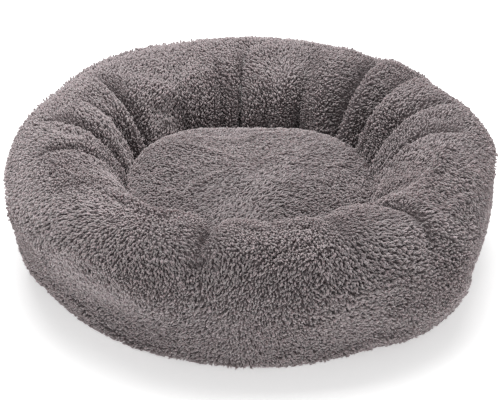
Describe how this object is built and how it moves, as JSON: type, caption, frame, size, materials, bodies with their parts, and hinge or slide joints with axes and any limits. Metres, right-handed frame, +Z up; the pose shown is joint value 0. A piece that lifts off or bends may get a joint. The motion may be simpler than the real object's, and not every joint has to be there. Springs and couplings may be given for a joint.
{
  "type": "pet cushion bed",
  "caption": "Round plush bed for a small pet: a soft stuffed ring wall on a flat base, with a loose crowned cushion in the sleeping well.",
  "frame": {"origin": "on the floor, under the middle of the bed", "axes": "+Z up; +Y to the back, where the zip is; +X to the right seen from the front"},
  "size_m": [0.5, 0.5, 0.138],
  "materials": {
    "ring_plush": "curled long-pile fleece, warm grey with a mauve cast, matt with a soft sheen at glancing angles",
    "cushion_plush": "the same curled fleece, a little shorter and flatter",
    "base_cloth": "plain woven polyester with small printed grip dots",
    "wadding": "white bonded polyester fibre",
    "lining": "plain woven lining cloth",
    "nonwoven": "white spun-bonded cloth",
    "binding": "woven binding tape",
    "zip_tape": "fine herringbone zip tape",
    "zip_coil": "nylon coil, semi-matt",
    "zip_metal": "dark nickel die-cast zinc, satin",
    "label": "blank satin-woven label"
  },
  "bodies": {
    "bed": {"base_cloth": "base_cloth", "base_padding": "wadding", "base_lining": "lining", "ring_cover": "ring_plush", "ring_liner": "nonwoven", "ring_filling": "wadding", "inner_seam_binding": "binding", "outer_seam_binding": "binding", "zip_tape_upper": "zip_tape", "zip_tape_lower": "zip_tape", "zip_coil_upper": "zip_coil", "zip_coil_lower": "zip_coil", "zip_top_stop_upper": "zip_metal", "zip_top_stop_lower": "zip_metal", "zip_end_stop": "zip_metal", "care_label": "label"},
    "cushion": {"cushion_top_cover": "cushion_plush", "cushion_base_cover": "lining", "cushion_seam_binding": "binding", "cushion_filling": "wadding"},
    "zip_slider": {"zip_slider_body": "zip_metal"},
    "zip_pull": {"zip_pull_tab": "zip_metal"}
  },
  "joints": [
    {"name": "cushion_lift", "type": "slide", "parent": "bed", "child": "cushion", "axis": [0, 0, 1], "range_m": [0, 0.16]},
    {"name": "zip_travel", "type": "hinge", "parent": "bed", "child": "zip_slider", "pos_m": [0, 0, 0], "axis": [0, 0, 1], "range_deg": [0, 96.5]},
    {"name": "zip_pull_swing", "type": "hinge", "parent": "zip_slider", "child": "zip_pull", "pos_m": [0.17621, 0.15724, 0.02184], "axis": [-0.3971, -0.3543, -0.8466], "range_deg": [0, 170]}
  ]
}
